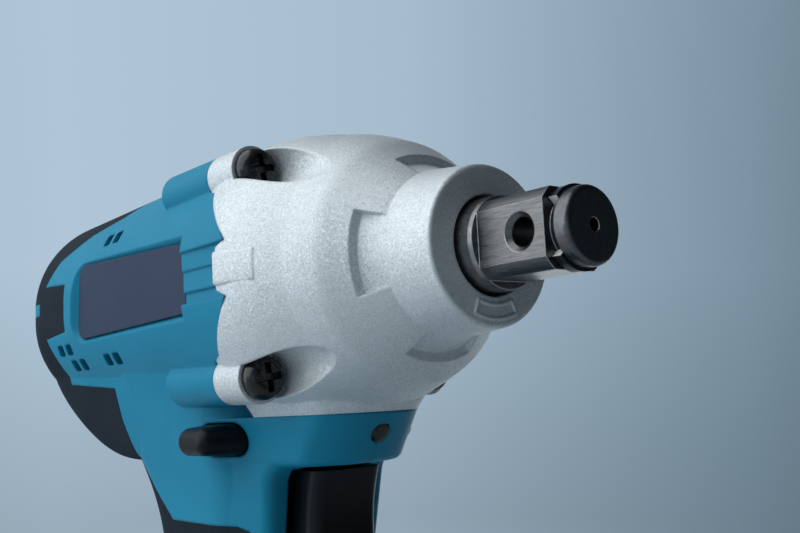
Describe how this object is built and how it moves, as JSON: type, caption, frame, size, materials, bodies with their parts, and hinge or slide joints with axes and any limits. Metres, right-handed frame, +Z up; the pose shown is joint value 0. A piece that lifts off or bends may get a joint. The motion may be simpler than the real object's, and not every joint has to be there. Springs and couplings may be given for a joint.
{
  "type": "cordless impact wrench",
  "caption": "Pistol-grip cordless impact wrench with square drive anvil, cast hammer case, planetary gearbox, rubber grip, trigger and slide-on battery.",
  "frame": {"origin": "middle of the outline, on the surface that the battery stands on", "axes": "+X forwards along the drive axis, +Y to the tool's left, +Z up"},
  "size_m": [0.1732, 0.074, 0.2193],
  "materials": {
    "teal_plastic": "fine satin grain",
    "rubber": "matte soft-touch rubber",
    "cast_silver": "sand-blasted casting, clear coated",
    "tool_steel": "phosphated steel, ground flats",
    "black_steel": "black oxide",
    "bright_steel": "machined",
    "plate": "smooth printed plate, bare",
    "black_plastic": "satin",
    "clear_plastic": "clear lens",
    "copper": "enamelled winding wire",
    "bronze": "sintered bearing bronze",
    "board": "coated circuit board",
    "cell_wrap": "shrink-wrapped cells",
    "led": "light-emitting chip"
  },
  "bodies": {
    "tool": {"anvil_bush": "bronze", "thrust_washer": "bright_steel", "hammer_case": "cast_silver", "hammer_case_screws": "black_steel", "ring_gear": "tool_steel", "gear_case": "black_plastic", "spindle_bearing": "bright_steel", "front_motor_bearing": "bright_steel", "rear_motor_bearing": "bright_steel", "stator": "tool_steel", "stator_coils": "copper", "sensor_board": "board", "housing_right": "teal_plastic", "housing_left": "teal_plastic", "grip_right": "rubber", "grip_left": "rubber", "name_plate": "plate", "housing_screws": "black_steel", "work_light_lens": "clear_plastic", "work_light_led": "led", "switch_body": "black_plastic", "trigger_spring": "bright_steel", "controller": "black_plastic", "terminal_block": "black_plastic", "terminal_blades": "bright_steel"},
    "anvil": {"anvil": "tool_steel", "friction_ring": "black_steel"},
    "spindle": {"spindle": "tool_steel", "planet_pins": "bright_steel", "cam_balls": "bright_steel", "hammer_spring": "bright_steel"},
    "hammer": {"hammer": "tool_steel", "spring_washer": "bright_steel"},
    "planet_1": {"planet_gear_1": "tool_steel"},
    "planet_2": {"planet_gear_2": "tool_steel"},
    "planet_3": {"planet_gear_3": "tool_steel"},
    "rotor": {"motor_pinion": "tool_steel", "rotor_shaft": "bright_steel", "rotor_core": "tool_steel", "cooling_fan": "black_plastic"},
    "trigger": {"trigger": "black_plastic"},
    "reversing_lever": {"reversing_lever": "black_plastic"},
    "battery": {"pack_upper": "black_plastic", "pack_lower": "black_plastic", "battery_cells": "cell_wrap", "pack_board": "board", "pack_contacts": "bright_steel", "latch_spring": "bright_steel"},
    "release_button": {"release_button": "black_plastic"}
  },
  "joints": [
    {"name": "spindle_spin", "type": "hinge", "parent": "tool", "child": "spindle", "pos_m": [0.06492, 0, 0.192], "axis": [1, 0, 0], "continuous": true},
    {"name": "hammer_slide", "type": "slide", "parent": "spindle", "child": "hammer", "axis": [-1, 0, 0], "range_m": [0, 0.008], "stiffness_N_per_m": 4000, "deforming": ["hammer_spring"]},
    {"name": "anvil_spin", "type": "hinge", "parent": "tool", "child": "anvil", "pos_m": [0.06492, 0, 0.192], "axis": [1, 0, 0], "continuous": true},
    {"name": "rotor_spin", "type": "hinge", "parent": "tool", "child": "rotor", "pos_m": [0.06492, 0, 0.192], "axis": [1, 0, 0], "continuous": true},
    {"name": "planet_1_spin", "type": "hinge", "parent": "spindle", "child": "planet_1", "pos_m": [0.00352, 0.01215, 0.192], "axis": [1, 0, 0], "continuous": true},
    {"name": "planet_2_spin", "type": "hinge", "parent": "spindle", "child": "planet_2", "pos_m": [0.00352, -0.00607, 0.20252], "axis": [1, 0, 0], "continuous": true},
    {"name": "planet_3_spin", "type": "hinge", "parent": "spindle", "child": "planet_3", "pos_m": [0.00352, -0.00607, 0.18148], "axis": [1, 0, 0], "continuous": true},
    {"name": "trigger_pull", "type": "slide", "parent": "tool", "child": "trigger", "axis": [-1, 0, 0], "range_m": [0, 0.0065], "stiffness_N_per_m": 800, "springref_m": -0.004, "deforming": ["trigger_spring"]},
    {"name": "reversing_push", "type": "slide", "parent": "tool", "child": "reversing_lever", "axis": [0, 1, 0], "range_m": [-0.0025, 0.0025]},
    {"name": "battery_slide", "type": "slide", "parent": "tool", "child": "battery", "axis": [1, 0, 0], "range_m": [0, 0.09]},
    {"name": "release_press", "type": "slide", "parent": "battery", "child": "release_button", "axis": [0, 0, -1], "range_m": [0, 0.004], "stiffness_N_per_m": 1500, "springref_m": -0.002, "deforming": ["latch_spring"]}
  ],
  "couplings": [
    {"joint": "anvil_spin", "follows": "spindle_spin", "ratio": 1},
    {"joint": "rotor_spin", "follows": "spindle_spin", "ratio": 4.5},
    {"joint": "planet_1_spin", "follows": "spindle_spin", "ratio": -2.8},
    {"joint": "planet_2_spin", "follows": "spindle_spin", "ratio": -2.8},
    {"joint": "planet_3_spin", "follows": "spindle_spin", "ratio": -2.8}
  ]
}
